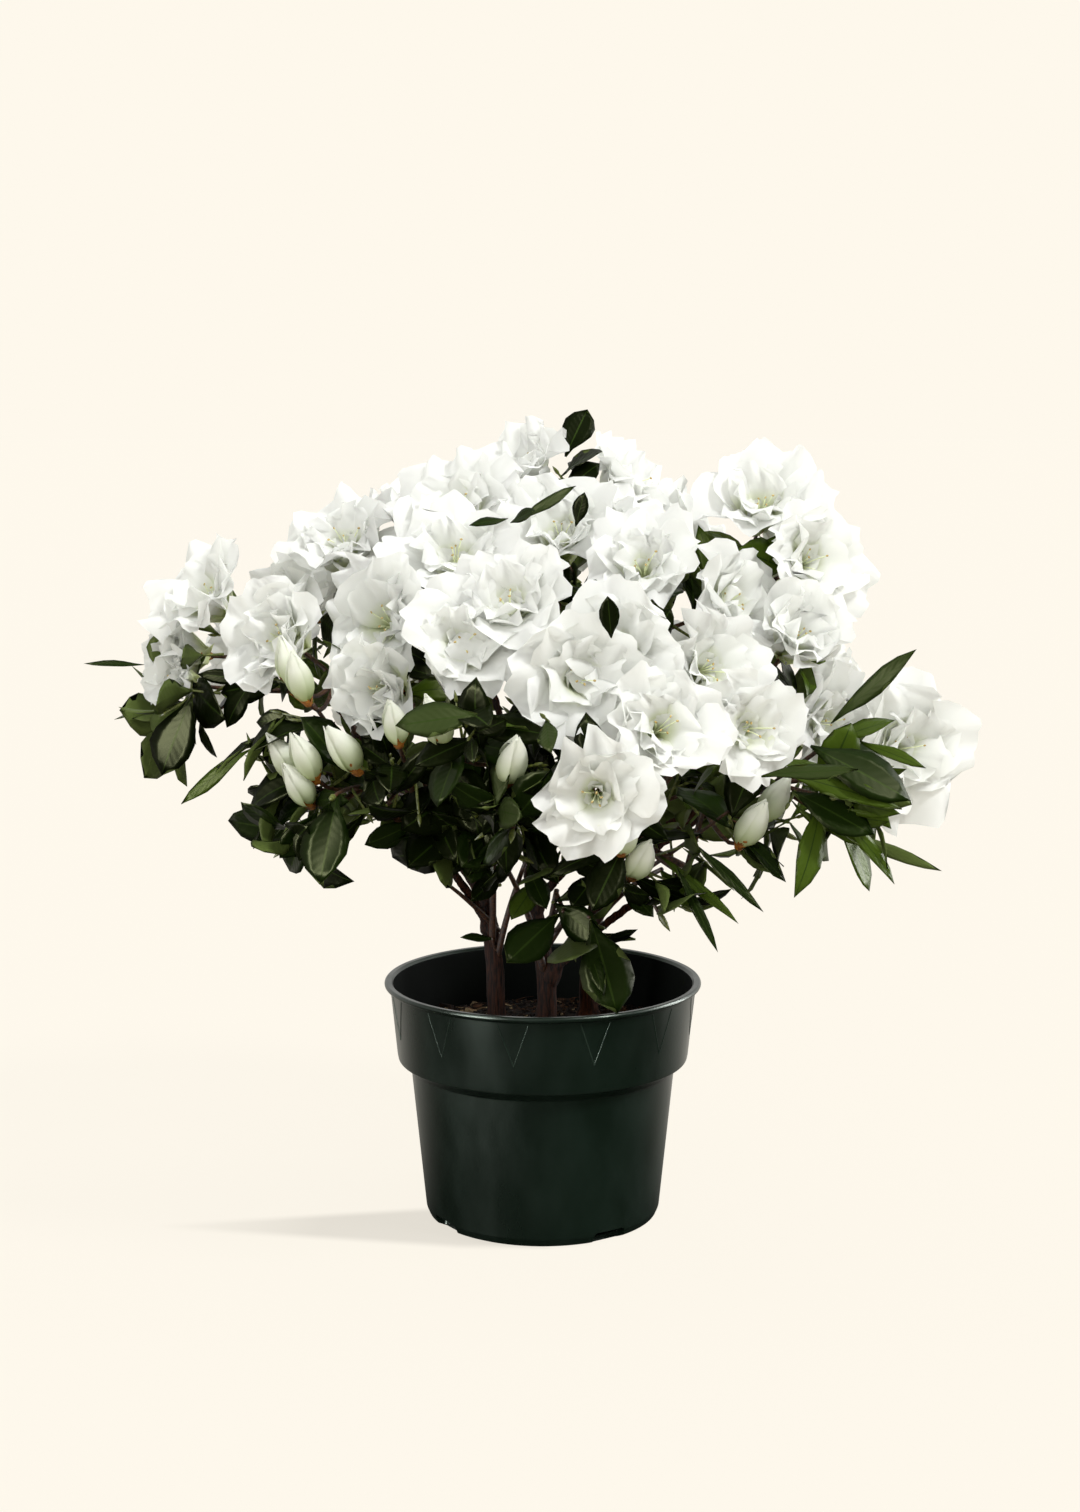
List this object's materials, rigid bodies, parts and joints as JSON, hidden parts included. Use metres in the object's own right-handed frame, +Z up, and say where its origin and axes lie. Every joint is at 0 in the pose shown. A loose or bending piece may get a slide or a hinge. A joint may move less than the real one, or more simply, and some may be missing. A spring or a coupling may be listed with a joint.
{
  "type": "potted flowering shrub",
  "caption": "Florist's azalea with white double blooms and dark leaves on woody stems, growing in a round tapered plastic nursery pot with a wide collar",
  "frame": {"origin": "the centre of the pot's flat underside, on the surface it stands on", "axes": "+Z up along the pot's axis, -Y towards the side seen first, with the tallest blooms above, and +X to that side's right"},
  "size_m": [0.4355, 0.3506, 0.4076],
  "materials": {
    "pot": "moulded, semi-matt",
    "soil": "loose potting mix",
    "bark": "rough bark",
    "foliage": "soft petals and leaves"
  },
  "bodies": {
    "root": {"pot": "pot", "soil": "soil", "stem_left": "bark", "stem_middle": "bark", "stem_right": "bark", "bough_left_tip": "bark", "bough_left_front": "bark", "bough_left_under": "bark", "bough_upper_left": "bark", "bough_back_left": "bark", "bough_mid_left": "bark", "bough_top_left": "bark", "bough_centre": "bark", "bough_back": "bark", "bough_low_right": "bark", "bough_front_low": "bark", "bough_right_mid": "bark", "bough_centre_right": "bark", "bough_right_top": "bark", "bough_right_side": "bark", "bough_right_tip": "bark", "bough_back_right": "bark", "mass_left_tip": "foliage", "mass_left_leaves": "foliage", "mass_left_front": "foliage", "mass_left_top": "foliage", "mass_left_under": "foliage", "mass_left_buds": "foliage", "mass_upper_left": "foliage", "mass_mid_left": "foliage", "mass_centre_left": "foliage", "mass_top_left": "foliage", "mass_top": "foliage", "mass_top_middle": "foliage", "mass_right_mid": "foliage", "mass_right_top": "foliage", "mass_centre": "foliage", "mass_front_leaves": "foliage", "mass_centre_right": "foliage", "mass_front_low": "foliage", "mass_front_right": "foliage", "mass_right_shoulder": "foliage", "mass_right_leaves": "foliage", "mass_right_tip": "foliage", "mass_low_right": "foliage", "mass_right_under": "foliage", "mass_low_centre": "foliage", "mass_inner_leaves": "foliage", "mass_foot_leaves": "foliage", "mass_back_left": "foliage", "mass_back_low_left": "foliage", "mass_back_mid_left": "foliage", "mass_back_top": "foliage", "mass_back_top_right": "foliage", "mass_back_low": "foliage", "mass_back_right": "foliage", "mass_back_right_tip": "foliage", "mass_back_low_right": "foliage", "mass_under_back_left": "foliage", "mass_under_back_right": "foliage"}
  },
  "joints": []
}
